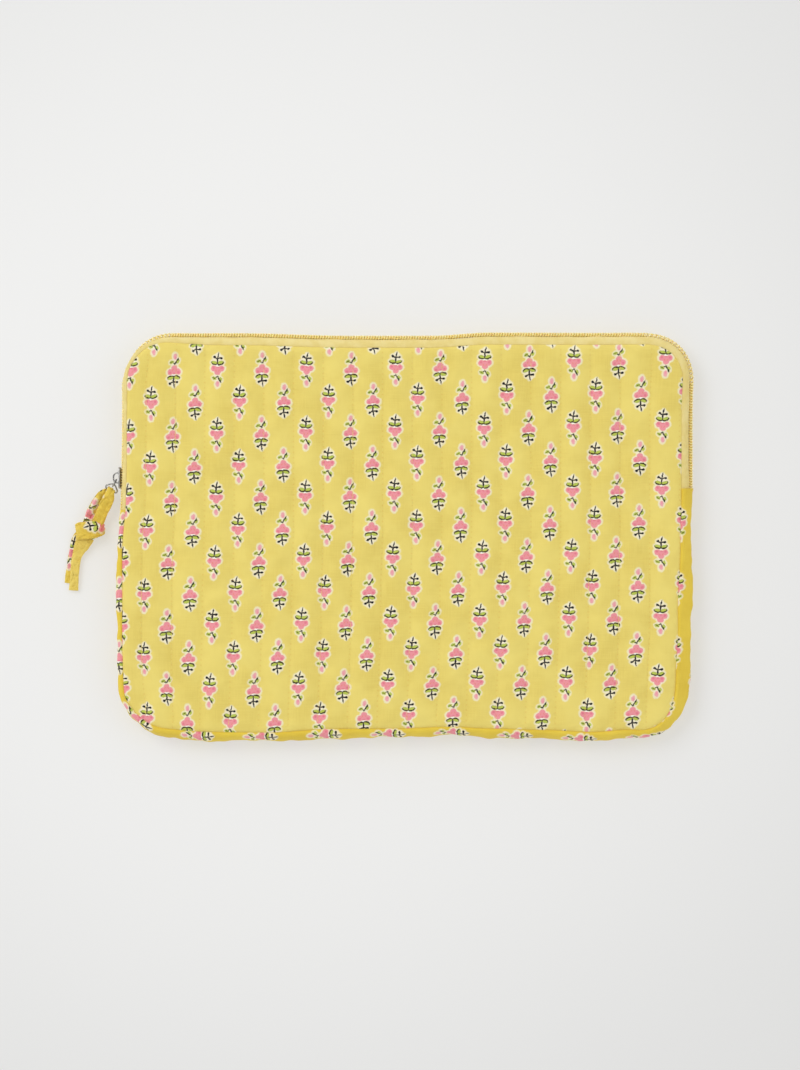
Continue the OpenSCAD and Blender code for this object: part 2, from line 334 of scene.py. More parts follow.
def new_material(name, rough, specular, metallic=0.0, sheen=0.0):
    mat = bpy.data.materials.new(name)
    mat.use_nodes = True
    nt = mat.node_tree
    p = nt.nodes["Principled BSDF"]
    p.inputs["Roughness"].default_value = rough
    p.inputs["Specular IOR Level"].default_value = specular
    p.inputs["Metallic"].default_value = metallic
    p.inputs["Sheen Weight"].default_value = sheen
    p.inputs["Sheen Roughness"].default_value = 0.5
    return mat, nt, p


def paint(nt, p, share, a, b):
    """Base colour between two colours."""
    nt.links.new(blend_colour(nt, share, a, b), p.inputs["Base Color"])


def bumped(nt, p, height, distance, strength):
    n = nt.nodes.new("ShaderNodeBump")
    n.inputs["Strength"].default_value = strength
    n.inputs["Distance"].default_value = distance * MM
    nt.links.new(height, n.inputs["Height"])
    nt.links.new(n.outputs[0], p.inputs["Normal"])


# The print's repeat, in mm: columns of one small flower sprig, two upside down and two upright in turn.
COLUMN, REPEAT = 13.39, 38.35
PRINT_X, PRINT_Y = -114.6, 23.5  # the middle of one sprig
RISE, LEAN = 0.0195, 0.012  # how much its rows rise to the right, and its columns lean
WAVER = 0.45  # how far a printed edge strays, in mm
CREAM_COVER = 0.72  # the ground shows through the cream
CREAM, PINK, ROSE, BUD = srgb(252, 245, 220), srgb(245, 156, 165), srgb(236, 132, 146), srgb(243, 176, 180)
ORANGE, LIME, OLIVE = srgb(240, 146, 128), srgb(190, 204, 90), srgb(62, 54, 24)
GREEN, NAVY, WHITE = srgb(54, 58, 34), srgb(34, 32, 38), srgb(255, 250, 238)
SPRIG = (  # a colour, and its blots: centre x, y, half-length, half-width, turn in degrees, softness
    (CREAM, (0.1, 8.5, 2.2, 2.7, 0, 1.0), (-1.6, 4.9, 2.5, 1.9, 20, 1.0), (1.8, 5.6, 1.8, 2.5, -30, 1.0),
     (0.1, 1.6, 2.6, 2.7, 0, 1.0), (-2.2, -0.9, 2.9, 2.6, 25, 1.0), (2.4, -0.6, 2.9, 2.6, -25, 1.0),
     (-1.9, -4.3, 3.0, 2.1, 16, 1.0), (1.9, -4.2, 3.0, 2.1, -16, 1.0), (0.1, -7.3, 3.7, 2.2, 4, 1.0),
     (0.4, -9.0, 1.5, 1.6, 0, 1.0)),
    (GREEN, (1.0, 5.5, 2.3, 0.42, 62, 0.4), (-0.6, 4.3, 1.4, 0.36, -22, 0.4)),
    (LIME, (-2.0, 4.9, 1.4, 0.95, 25, 0.45), (2.1, 5.4, 1.2, 0.75, 58, 0.45)),
    (OLIVE, (-2.0, 4.9, 1.1, 0.22, 25, 0.3)),
    (GREEN, (1.9, 6.6, 0.9, 0.4, 75, 0.35)),
    (BUD, (0.1, 8.2, 1.2, 1.6, 0, 0.6), (0.3, 9.1, 0.8, 1.0, -15, 0.6)),
    (PINK, (0.2, 7.7, 0.35, 0.9, 8, 0.4), (0.1, 1.2, 1.9, 1.9, 0, 0.4), (-2.1, -0.8, 1.9, 1.75, 25, 0.4),
     (2.3, -0.6, 1.9, 1.75, -25, 0.4), (0.1, -0.6, 1.6, 1.5, 0, 0.4)),
    (ROSE, (-2.4, -1.3, 0.8, 0.7, 25, 0.7), (2.6, -1.0, 0.8, 0.7, -25, 0.7)),
    (ORANGE, (-0.8, 0.5, 0.8, 0.22, 65, 0.4), (1.0, 0.6, 0.8, 0.22, -55, 0.4)),
    (ROSE, (0.1, -1.5, 1.0, 0.3, 5, 0.3)),
    (WHITE, (0.0, -2.9, 1.1, 0.9, 0, 0.35)),
    (OLIVE, (-1.9, -4.1, 2.1, 1.2, 16, 0.35), (1.9, -3.9, 2.1, 1.2, -16, 0.35)),
    (LIME, (-1.85, -4.5, 1.7, 0.78, 16, 0.3), (1.8, -4.3, 1.7, 0.78, -16, 0.3)),
    (NAVY, (0.0, -5.6, 1.7, 0.5, 90, 0.35), (-1.1, -7.1, 1.2, 0.44, 32, 0.35),
     (1.2, -6.8, 1.3, 0.44, -8, 0.35), (-1.9, -7.6, 0.8, 0.7, 0, 0.35), (2.3, -6.8, 0.8, 0.7, 0, 0.35),
     (0.4, -8.5, 1.8, 0.42, -78, 0.35)),
)


def print_over(nt, ground, x, y):
    """The ground colour with the flower print on it, at a place on the cloth."""
    dx, dy = calc(nt, "SUBTRACT", x, PRINT_X), calc(nt, "SUBTRACT", y, PRINT_Y)
    px = calc(nt, "MULTIPLY_ADD", dy, -LEAN, dx)
    py = calc(nt, "MULTIPLY_ADD", dx, -RISE, dy)
    column = calc(nt, "ROUND", calc(nt, "DIVIDE", px, COLUMN))
    odd = calc(nt, "FLOORED_MODULO", column, 2.0)
    py = calc(nt, "MULTIPLY_ADD", odd, -REPEAT / 2, py)
    row = calc(nt, "ROUND", calc(nt, "DIVIDE", py, REPEAT))
    lx = calc(nt, "MULTIPLY_ADD", column, -COLUMN, px)
    ly = calc(nt, "MULTIPLY_ADD", row, -REPEAT, py)
    turned = calc(nt, "LESS_THAN", calc(nt, "FLOORED_MODULO", column, 4.0), 1.5)
    ly = calc(nt, "MULTIPLY", ly, calc(nt, "MULTIPLY_ADD", turned, -2.0, 1.0))
    waver = nt.nodes.new("ShaderNodeTexNoise")  # the printed edges aren't perfect
    waver.inputs["Scale"].default_value = 0.9
    waver.inputs["Detail"].default_value = 1.0
    nt.links.new(vector(nt, x, y), waver.inputs["Vector"])
    centred = nt.nodes.new("ShaderNodeVectorMath")
    centred.operation = "MULTIPLY_ADD"
    nt.links.new(waver.outputs["Color"], centred.inputs[0])
    centred.inputs[1].default_value = (2 * WAVER, 2 * WAVER, 0)
    in_repeat = vector(nt, calc(nt, "SUBTRACT", lx, WAVER), calc(nt, "SUBTRACT", ly, WAVER))
    nt.links.new(in_repeat, centred.inputs[2])
    out = ground
    for colour, *blots in SPRIG:
        for cx, cy, a, b, turn, soft in blots:
            n = nt.nodes.new("ShaderNodeMapping")
            n.vector_type = "TEXTURE"
            n.inputs["Location"].default_value = (cx, cy, 0)
            n.inputs["Rotation"].default_value = (0, 0, math.radians(turn))
            n.inputs["Scale"].default_value = (a, b, 1)
            nt.links.new(centred.outputs[0], n.inputs["Vector"])
            r = nt.nodes.new("ShaderNodeVectorMath")
            r.operation = "LENGTH"
            nt.links.new(n.outputs[0], r.inputs[0])
            edge = soft / min(a, b) / 2
            mask = ease(nt, r.outputs["Value"], 1 + edge, 1 - edge)
            if colour is CREAM:
                mask = calc(nt, "MULTIPLY", mask, CREAM_COVER)
            out = blend_colour(nt, mask, out, colour)
    return out


def weave(nt, x, y, pitch):
    """A plain weave's height, 0 to 1."""
    k = 2 * math.pi / pitch
    a = calc(nt, "SINE", calc(nt, "MULTIPLY", x, k))
    b = calc(nt, "SINE", calc(nt, "MULTIPLY", y, k))
    return calc(nt, "MULTIPLY_ADD", calc(nt, "MULTIPLY", a, b), 0.5, 0.5)


def fabric(name, ground, printed=False, pitch=0.42, quilted=False, rough=0.88):
    """Plain-woven cotton with slubs, with or without the print and the marks of the quilting."""
    mat, nt, p = new_material(name, rough, 0.15, sheen=0.12)
    x, y = cloth_place(nt)
    place = vector(nt, x, y)
    shade = cloud(nt, place, 0.035, 3.0)
    slub_x = cloud(nt, vector(nt, calc(nt, "MULTIPLY", x, 2.2), calc(nt, "MULTIPLY", y, 0.08)), 1.0, 2.0)
    slub_y = cloud(nt, vector(nt, calc(nt, "MULTIPLY", x, 0.08), calc(nt, "MULTIPLY", y, 2.2), 5.0), 1.0, 2.0)
    slub = calc(nt, "ADD", slub_x, slub_y)
    deep = tuple(c * k for c, k in zip(ground[:3], (0.93, 0.9, 0.81))) + (1.0,)
    pale = tuple(min(1.0, c * k) for c, k in zip(ground[:3], (1.035, 1.05, 1.1))) + (1.0,)
    colour = blend_colour(nt, ease(nt, shade, 0.3, 0.7), deep, pale)
    colour = blend_colour(nt, ease(nt, slub, 0.75, 1.3, 0.0, 0.5), colour, pale)
    if printed:
        colour = print_over(nt, colour, x, y)
    threads = weave(nt, x, y, pitch)
    height = calc(nt, "MULTIPLY_ADD", slub, 0.5, threads)
    if quilted:  # the needle's holes along each sewn row, dimpled, and darkened with painted shade
        row = calc(nt, "FRACT", calc(nt, "DIVIDE", calc(nt, "SUBTRACT", x, SHIFT), PITCH))
        off = calc(nt, "ABSOLUTE", calc(nt, "MULTIPLY_ADD", row, PITCH, -PITCH / 2))
        beat = calc(nt, "COSINE", calc(nt, "MULTIPLY", y, 2 * math.pi / STITCH))
        hole = calc(nt, "MULTIPLY", ease(nt, off, 0.75, 0.1), ease(nt, beat, 0.2, 1.0))
        # painted shade in the needle holes: their colour is darkened towards orange-brown
        colour = blend_colour(nt, calc(nt, "MULTIPLY", hole, 0.2), colour, srgb(226, 166, 56))
        height = calc(nt, "MULTIPLY_ADD", hole, -1.5, height)
        drawn = cloud(nt, vector(nt, calc(nt, "MULTIPLY", x, 0.16), calc(nt, "MULTIPLY", y, 0.55)), 1.0, 2.0)
        drawn = calc(nt, "ADD", calc(nt, "MULTIPLY", drawn, 5.0), calc(nt, "MULTIPLY", beat, 0.5))
        height = calc(nt, "MULTIPLY_ADD", calc(nt, "MULTIPLY", drawn, ease(nt, off, 5.5, 0.3)), 1.1, height)
    nt.links.new(colour, p.inputs["Base Color"])
    bumped(nt, p, height, 0.09, 0.5)
    return mat


# ------------ the quilting, from a cloth simulation

CELLS = 9  # simulated cells across one quilting row
CELL = np.arange(-5, 164)  # every cell, counted from the first sewn row
GRID_X = SHIFT + PITCH * (CELL / CELLS - (ROWS - 1) / 2)
GRID_Y = np.arange(-117, 117.1, 2.0)


def simulate_quilting():
    """Heights, at the grid's points, of a flat sheet that is sewn down along its quilting rows and its seam,
    swells under a light pressure and puckers."""
    x, y = np.meshgrid(GRID_X, GRID_Y, indexing="ij")
    n, m = x.shape
    sewn = (CELL % CELLS == 0)[:, None] & np.ones((1, m), bool)
    pin = sewn | (edge_distance(x, y) < 1.6)
    turn = (x - SHIFT) / PITCH
    arch = 1 - (2 * np.abs(turn - np.round(turn))) ** 2.4
    z = np.where(pin, 0, arch * (0.85 + 0.16 * ripple(x, y, 15, 11) + 0.12 * ripple(x * 0.35, y, 9, 12)))
    scale = 0.01  # ten times life size
    frames = 20
    me = bpy.data.meshes.new("quilting")
    places = np.stack([x, y, z], -1).reshape(-1, 3) * scale
    me.from_pydata(places.tolist(), [], grid_faces(n, m).tolist())
    ob = bpy.data.objects.new("quilting", me)
    bpy.context.scene.collection.objects.link(ob)
    group = ob.vertex_groups.new(name="sewn")
    group.add(np.flatnonzero(pin.ravel()).tolist(), 1.0, "REPLACE")
    mod = ob.modifiers.new("cloth", "CLOTH")
    s = mod.settings
    s.vertex_group_mass = "sewn"
    s.quality, s.mass = 5, 0.3
    s.tension_stiffness = s.compression_stiffness = 15
    s.shear_stiffness, s.bending_stiffness = 5, 4
    s.shrink_min = -0.010
    s.use_pressure, s.uniform_pressure_force = True, 2.5
    s.effector_weights.gravity = 0
    mod.collision_settings.use_collision = mod.collision_settings.use_self_collision = False
    mod.point_cache.frame_start, mod.point_cache.frame_end = 1, frames
    for f in range(1, frames + 1):
        bpy.context.scene.frame_set(f)
    made = ob.evaluated_get(bpy.context.evaluated_depsgraph_get()).data
    co = np.zeros(len(made.vertices) * 3)
    made.vertices.foreach_get("co", co)
    bpy.data.objects.remove(ob)
    bpy.context.scene.frame_set(1)
    z = co.reshape(n, m, 3)[..., 2] / scale
    for _ in range(2):  # the padding beneath evens out the smallest creases
        z[:, 1:-1] = 0.5 * z[:, 1:-1] + 0.25 * (z[:, :-2] + z[:, 2:])
        inner = 0.5 * z[1:-1] + 0.25 * (z[:-2] + z[2:])
        z[1:-1] = np.where(pin[1:-1], 0, inner)
    return np.clip(z, -0.6, 2.2)


QUILT = simulate_quilting()


def puff(x, y):
    """Height of the quilted cloth over its sewn rows."""
    i = np.clip((x - GRID_X[0]) / (GRID_X[1] - GRID_X[0]), 0, len(GRID_X) - 1.001)
    j = np.clip((y - GRID_Y[0]) / (GRID_Y[1] - GRID_Y[0]), 0, len(GRID_Y) - 1.001)
    a, b = i.astype(int), j.astype(int)
    u, v = i - a, j - b
    return ((QUILT[a, b] * (1 - u) + QUILT[a + 1, b] * u) * (1 - v)
            + (QUILT[a, b + 1] * (1 - u) + QUILT[a + 1, b + 1] * u) * v)


# ------------ quilted panels

EDGE_D = np.array([0, 0.12, 0.4, 0.85, 1.4, 2.1, 2.9, 3.9, 5.1, 6.5])  # how deep the points near a seam lie


def panel_points(spacing, margin=0.0):
    """Points of a panel, in rows, up to a margin from its seam. Rows and columns crowd towards the edges."""
    def line(half):
        d = EDGE_D if spacing < 2 else EDGE_D[::2]
        inner = half - d[-1]
        count = int(2 * inner / spacing)
        mid = np.linspace(-inner, inner, count + 1)[1:-1]
        return np.concatenate([-half + d, mid, (half - d)[::-1]])
    xs, ys = line(HALF_W) / HALF_W, line(HALF_H)
    reach = np.full(len(ys), HALF_W)
    c = np.abs(ys) > HALF_H - PANEL_R
    up = np.abs(ys[c]) - (HALF_H - PANEL_R)
    reach[c] = HALF_W - PANEL_R + np.sqrt(np.maximum(PANEL_R ** 2 - up ** 2, 0))
    x, y = xs[:, None] * reach[None], np.broadcast_to(ys, (len(xs), len(ys)))
    return x * (1 - margin / HALF_W), y * (1 - margin / HALF_H)


ROLL, ROLL_H = 5.0, 2.2  # width and height of a panel's rounding at its seam


def cover_z(x, y, back=False):
    """Height of the outside face of the front panel, or of the back one."""
    d = np.maximum(edge_distance(x, y), 0)
    roll = ROLL_H * (1 - (1 - np.clip(d / ROLL, 0, 1)) ** 2) ** 0.7
    settle = step(0.5, 9, d)
    if back:
        h = roll + (1.4 * (puff(x, -y) - 1.0) + 0.2 * ripple(x, y, 70, 21)) * settle
        return np.maximum(BACK_SEAM_Z - h, 0.0)
    sag = 0.35 * ripple(x, y, 95, 22) - 0.25 + 0.1 * ripple(x, y, 26, 23)
    hem = 0.16 * np.sin(edge_angle(x, y)) * step(7, 1, d) * step(0, 1, d)
    sx, sy = slip(x, y)
    return FRONT_SEAM_Z + roll + (1.45 * (puff(x + sx, y + sy) - 0.95) + sag) * settle + hem


def edge_angle(x, y):
    """A beat of about 9 mm along the seam, uneven, for its small gathers."""
    return (x * np.sign(y) + y * np.sign(x)) * 2 * math.pi / 9.0 + 2.2 * ripple(x, y, 40, 24)


def lining_z(x, y, back=False):
    """Height of the bare face of the front panel's lining, or of the back one's."""
    d = np.maximum(edge_distance(x, y), 0)
    h = 0.8 * puff(x, -y if not back else y) * step(2, 9, d) + 0.12 * ripple(x, y, 31, 25)
    return (3.5 + h) if back else (16.5 - h)


def panel_sheet(name, height, spacing, thickness, down, margin=0.0):
    """One layer of a panel, as a sheet at a height. down turns its outer face downwards."""
    x, y = panel_points(spacing, margin)
    z = height(x, y)
    p = np.stack([x, y, z], -1).reshape(-1, 3)
    f = grid_faces(*x.shape)
    if down:
        f = f[:, ::-1]
    flat = p * [1, 1, 0]
    if z.mean() > MID:
        flat[:, :2] += np.stack(slip(p[:, 0], p[:, 1]), -1)
    ob = mesh_object(name, warp(p), f, cloth=flat)
    return thicken(ob, thickness)


def panel_slab(name, top, bottom, spacing, margin):
    """A closed pad between two heights."""
    x, y = panel_points(spacing, margin)
    n, m = x.shape
    zt, zb = top(x, y), bottom(x, y)
    zb = np.minimum(zb, zt - 0.4)
    upper = np.stack([x, y, zt], -1).reshape(-1, 3)
    lower = np.stack([x, y, zb], -1).reshape(-1, 3)
    idx = np.arange(n * m).reshape(n, m)
    rim = np.concatenate([idx[:, 0], idx[-1, 1:], idx[-2::-1, -1], idx[0, -2:0:-1]])
    after = np.roll(rim, -1)
    sides = np.stack([rim, rim + n * m, after + n * m, after], -1)
    faces = np.concatenate([grid_faces(n, m), grid_faces(n, m, base=n * m)[:, ::-1], sides])
    p = np.concatenate([upper, lower])
    return outward(mesh_object(name, warp(p), faces, cloth=p * [1, 1, 0]))


def inside(height, x, y, depth):
    """A face at a depth inside an upper face, or with a depth below 0, inside a lower one. It stays clear of
    that face between its own coarser points."""
    around = [height(x + a, y + b) for a, b in ((0, 0), (1.3, 0), (-1.3, 0), (0, 1.3), (0, -1.3))]
    return (np.min(around, 0) if depth > 0 else np.max(around, 0)) - depth


def quilting_thread(name, faces_z):
    """One sewn line a row on each face: the thread rides over the cloth and dives at each hole."""
    verts, faces = [], []
    for i in range(ROWS):
        x0 = SHIFT + (i - (ROWS - 1) / 2) * PITCH
        over = max(0.0, abs(x0) - (HALF_W - PANEL_R))
        end = HALF_H - PANEL_R + math.sqrt(PANEL_R ** 2 - over ** 2) - 2.5
        beats = int(end / STITCH)
        part = np.array([-0.5, -0.42, -0.3, 0.0, 0.3, 0.42])
        y = (np.arange(-beats, beats)[:, None] + 0.5 + part[None]).ravel() * STITCH
        for sign, height in faces_z:
            lift = np.tile([-0.4, -0.1, 0.06, 0.1, 0.06, -0.1], 2 * beats)
            x = np.full_like(y, x0)
            if height is cover_z:
                x -= slip(x, y)[0]
            z = height(x, y) + sign * lift
            line = warp(np.stack([x, y, z], -1))
            v, f = tube(wire(line, THREAD_R, 6), base=sum(map(len, verts)))
            verts.append(v)
            faces += f
    v = np.concatenate(verts)
    return outward(mesh_object(name, v, faces, cloth=v))


def outline_loop(inset, spacing):
    """The panel's outline moved in by inset: points, outward directions, and lengths along it."""
    w, h, r = HALF_W - inset, HALF_H - inset, PANEL_R - inset
    pts, nrm = [], []
    for k, (cx, cy) in enumerate(((1, 1), (-1, 1), (-1, -1), (1, -1))):
        a = np.linspace(0, math.pi / 2, max(6, int(r * math.pi / 2 / spacing)))[:, None] + k * math.pi / 2
        out = np.concatenate([np.cos(a), np.sin(a)], 1)
        pts.append(np.array([cx * (w - r), cy * (h - r)]) + out * r)
        nrm.append(out)
        after = ((-1, 1), (-1, -1), (1, -1), (1, 1))[k]
        start, stop = pts[-1][-1], np.array([after[0] * (w - r), after[1] * (h - r)]) + out[-1] * r
        count = int(np.linalg.norm(stop - start) / spacing)
        t = np.linspace(0, 1, count + 1)[1:-1, None]
        pts.append(start + (stop - start) * t)
        nrm.append(np.repeat(out[-1:], len(t), 0))
    p, n = np.concatenate(pts), np.concatenate(nrm)
    s = np.concatenate([[0], np.cumsum(np.linalg.norm(np.diff(p, axis=0), axis=1))])
    return p, n, s


def binding(name, z0, seed):
    """A folded strip sewn over the raw edges inside, with its two rolled edges and slight unevenness."""
    p, n, s = outline_loop(5.3, 2.4)
    a = angles(20)
    out = 3.9 * power(np.cos(a), 0.45)
    pinch = 1 - 0.25 * np.exp(-((np.abs(out) - 2.9) / 0.5) ** 2)  # where it is sewn
    up = 0.85 * power(np.sin(a), 0.6) * pinch
    wave = 0.25 * ripple(s, 0 * s, 23, seed)
    lift = 0.12 * ripple(s, 0 * s, 9, seed + 1)
    o = out[None] * (1 + 0.03 * ripple(s, 0 * s, 14, seed + 2))[:, None] + wave[:, None]
    ring = np.concatenate([p[:, None] + n[:, None] * o[..., None],
                           (z0 + up[None] + lift[:, None])[..., None]], -1)
    v = ring.reshape(-1, 3)
    girth = np.concatenate([[0], np.cumsum(np.hypot(np.diff(out), np.diff(up)))])
    places = np.stack(np.broadcast_arrays(s[:, None], girth[None], 0), -1).reshape(-1, 3)
    faces = grid_faces(*ring.shape[:2], wrap_n=True, wrap_m=True)
    return outward(mesh_object(name, warp(v), faces, cloth=places))


# ------------ the rim: gusset, tapes and coils

ARC = LINE_R * math.pi / 2
CX, CY = LINE_W - LINE_R, LINE_H - LINE_R  # the centre of a corner's arc


def rim_at(s, start, sign):
    """Places on the rim's centre line and their outward directions, from the left side at y = start, over the
    top (sign 1) or round the bottom (sign -1)."""
    s = np.asarray(s, float)
    first = CY - sign * start
    a1 = np.clip((s - first) / LINE_R, 0, math.pi / 2)
    a2 = np.clip((s - first - ARC - 2 * CX) / LINE_R, 0, math.pi / 2)
    x, y = np.full(s.shape, -LINE_W), start + sign * np.minimum(s, first)
    turn = s > first
    x = np.where(turn, -CX - LINE_R * np.cos(a1), x)
    y = np.where(turn, sign * (CY + LINE_R * np.sin(a1)), y)
    along = s > first + ARC
    x = np.where(along, np.minimum(-CX + s - first - ARC, CX) + LINE_R * np.sin(a2), x)
    y = np.where(along, sign * (CY + LINE_R * np.cos(a2)), y)
    last = s - (first + 2 * ARC + 2 * CX)
    y = np.where(last > 0, sign * CY - sign * last, y)
    nx = np.where(along, np.sin(a2), -np.cos(a1))
    ny = np.where(along, sign * np.cos(a2), sign * np.sin(a1))
    return np.stack([x, y], -1), np.stack([nx, ny], -1)


def rim_length(start, stop, sign):
    """From the left side at y = start to the right side at y = stop."""
    return (CY - sign * start) + 2 * ARC + 2 * CX + (CY - sign * stop)


def swept(p, n, out, z):
    """Points out from each place on a line, (n, m) of out and z."""
    o = np.broadcast_to(out, (len(p), np.shape(out)[-1]))
    z = np.broadcast_to(z, o.shape)
    return np.concatenate([p[:, None] + n[:, None] * o[..., None], z[..., None]], -1)


def section(points, count):
    """A smooth section through points of (out, z): its outs and heights, its normals, and lengths along it."""
    p, at = resample(points, count=count)
    out, z = p.T
    return out, z, unit(np.stack([np.gradient(z), -np.gradient(out)], -1)), at


GUSSET_SIDE = ((5.15, 17.4), (5.8, 17.95), (6.9, 18.25), (8.4, 17.4), (9.8, 15.2), (10.7, 12.8))
GUSSET = [(n, TOP - z) for n, z in GUSSET_SIDE] + [(11.0, MID)] + [(n, z) for n, z in GUSSET_SIDE[::-1]]
CORNER_EASE = 7.8  # how much longer the strip is than the centre line, on each corner
GUSSET_LAP = 1.5  # the gusset's folded ends lie over the ends of the zip
GUSSET_PRINT = 10.0  # where a column of the print runs, up from the middle of the gusset
GUSSET_SPRIG = 11.5  # where a sprig lies in it, down from the zip's left end


def gusset_wave(s, t, full):
    """How far the gusset's surface stands out from its even shape, at length s, and at t from seam to seam."""
    free = np.sin(np.pi * np.clip(t, 0, 1)) ** 0.7
    corner = np.exp(-((s - full * 0.21) / 16) ** 2) + np.exp(-((s - full * 0.76) / 16) ** 2)
    v = t * 27
    return free * (0.28 * ripple(s, v * 0.4, 12, 31) + 0.4 * ripple(s, v * 0.3, 48, 32)
                   + 0.25 * corner * np.sin(s * 2 * math.pi / 6.3 + ripple(s, v, 20, 33)))


def gusset(name):
    """The printed strip that closes the bottom and the lower sides, with its puckers at the corners."""
    full = rim_length(ZIP_LEFT + GUSSET_LAP, ZIP_RIGHT + GUSSET_LAP, -1)
    s = np.linspace(0, full, int(full / 1.3))
    p, n = rim_at(s, ZIP_LEFT + GUSSET_LAP, -1)
    out, z, normal, at = section(GUSSET, 41)
    t = at / at[-1]
    wave = gusset_wave(s[:, None], t[None], full)
    ends = np.minimum(s, full - s)
    swell = 0.55 * np.exp(-ends / 3.5)[:, None] * np.sin(np.pi * t)[None]  # over the zip's ends
    o = out[None] + (wave + swell) * normal[None, :, 0]
    h = z[None] + (wave * 0.8 + swell) * normal[None, :, 1]
    ring = swept(p, n, o, h)
    v = np.broadcast_to((at - at[-1] / 2)[None], o.shape)
    drift = 5.0 * step(full * 0.70, full * 0.80, s)[:, None]  # the strip lies a little lower on the right
    cloth_x = v + PRINT_X + 2 * COLUMN - GUSSET_PRINT + drift
    facing = np.arctan2(n[:, 0] + 1e-9, -n[:, 1])  # 0 along the bottom, a quarter turn on the sides
    bends = 1 + facing / (np.pi / 2)  # how many corners it has passed
    run = s + CORNER_EASE * bends  # the strip is longer round a corner than the centre line
    cloth_y = PRINT_Y + GUSSET_SPRIG + GUSSET_LAP - np.broadcast_to(run[:, None], o.shape)
    places = np.stack([cloth_x, cloth_y, 0 * v], -1).reshape(-1, 3)
    ob = mesh_object(name, warp(ring.reshape(-1, 3)), grid_faces(*o.shape), cloth=places)
    return thicken(ob, COVER_T)


def rim_sheet(name, start, stop, sign, points, count, thickness, seed, rough=0.1, flip=False):
    """A strip along the rim, such as a tape or the gusset's lining."""
    full = rim_length(start, stop, sign)
    s = np.linspace(0, full, int(full / 2.0))
    p, n = rim_at(s, start, sign)
    out, z, normal, at = section(points, count)
    t = at / at[-1]
    wave = rough * ripple(s[:, None], at[None], 16, seed) * np.sin(np.pi * t)[None] ** 0.5
    o, h = out[None] + wave * normal[None, :, 0], z[None] + wave * normal[None, :, 1]
    f = grid_faces(*o.shape)
    places = np.stack(np.broadcast_arrays(at[None], s[:, None], 0.0), -1).reshape(-1, 3)
    ob = mesh_object(name, warp(swept(p, n, o, h).reshape(-1, 3)), f[:, ::-1] if flip else f, cloth=places)
    return thicken(ob, thickness)


def rim_tube(name, start, stop, sign, ring_points):
    """A closed bar of one section along the rim."""
    full = rim_length(start, stop, sign)
    s = np.linspace(0, full, int(full / 3.0))
    p, n = rim_at(s, start, sign)
    out, z = np.asarray(ring_points, float).T
    v, f = tube(swept(p, n, out, z))
    return outward(mesh_object(name, warp(v), f, cloth=v))


def coil(name, side):
    """One half of the coil: real turns of round monofilament, a turn every pitch."""
    start, stop = ZIP_LEFT - 0.8, ZIP_RIGHT - 0.8
    full = rim_length(start, stop, 1)
    steps = 12
    turns = int(full / COIL_PITCH)
    k = np.arange(turns * steps + 1) / steps
    a = 2 * math.pi * k
    s = (k + (0.0 if side > 0 else 0.5)) * COIL_PITCH
    keep = s <= full
    s, a = s[keep], a[keep]
    p, n = rim_at(s, start, 1)
    across = 1.3 + 1.5 * power(np.cos(a), 0.7)
    clear = step(60, 110, s)  # drawn in a little where the slider runs
    out = 10.15 + 0.27 * clear + (0.9 + 0.1 * clear) * power(np.sin(a), 0.8)
    z = MID + side * across
    line = warp(np.concatenate([p + n * out[:, None], z[:, None]], 1))
    v, f = tube(wire(line, 0.4, 6))
    return outward(mesh_object(name, v, f, cloth=v))


# ------------ slider, link and ring

def bevelled(name, outline, low, high, place, bevel, segments=3):
    """An outline (a, b) made solid from low to high along the third direction, with rounded edges."""
    n = len(outline)
    pts = [place(a, b, low) for a, b in outline] + [place(a, b, high) for a, b in outline]
    faces = [tuple(range(n))[::-1], tuple(range(n, 2 * n))]
    faces += [(i, (i + 1) % n, n + (i + 1) % n, n + i) for i in range(n)]
    ob = outward(mesh_object(name, pts, faces))
    m = ob.modifiers.new("bevel", "BEVEL")
    m.width, m.segments, m.limit_method = bevel * MM, segments, "ANGLE"
    m.angle_limit = math.radians(25)
    m.harden_normals = False
    apply_modifiers(ob)
    return ob


def joined(name, parts):
    """The parts as one object."""
    bpy.ops.object.select_all(action="DESELECT")
    for o in parts:
        o.select_set(True)
    bpy.context.view_layer.objects.active = parts[0]
    bpy.ops.object.join()
    parts[0].name = name
    parts[0].data.name = name
    return parts[0]


def flat_sweep(path, side, width, thickness):
    """Rings of a flat strip with rounded edges. Width lies along side, which is made square to the path."""
    path = np.asarray(path, float)
    tangent = unit(np.gradient(path, axis=0))
    side = unit(side - tangent * (side * tangent).sum(1, keepdims=True))
    up = np.cross(side, tangent)
    a = angles(14)
    u, v = power(np.cos(a), 0.7), power(np.sin(a), 0.7)
    w = np.broadcast_to(width, (len(path),))[:, None, None] / 2
    t = np.broadcast_to(thickness, (len(path),))[:, None, None] / 2
    return path[:, None] + w * u[None, :, None] * side[:, None] + t * v[None, :, None] * up[:, None]


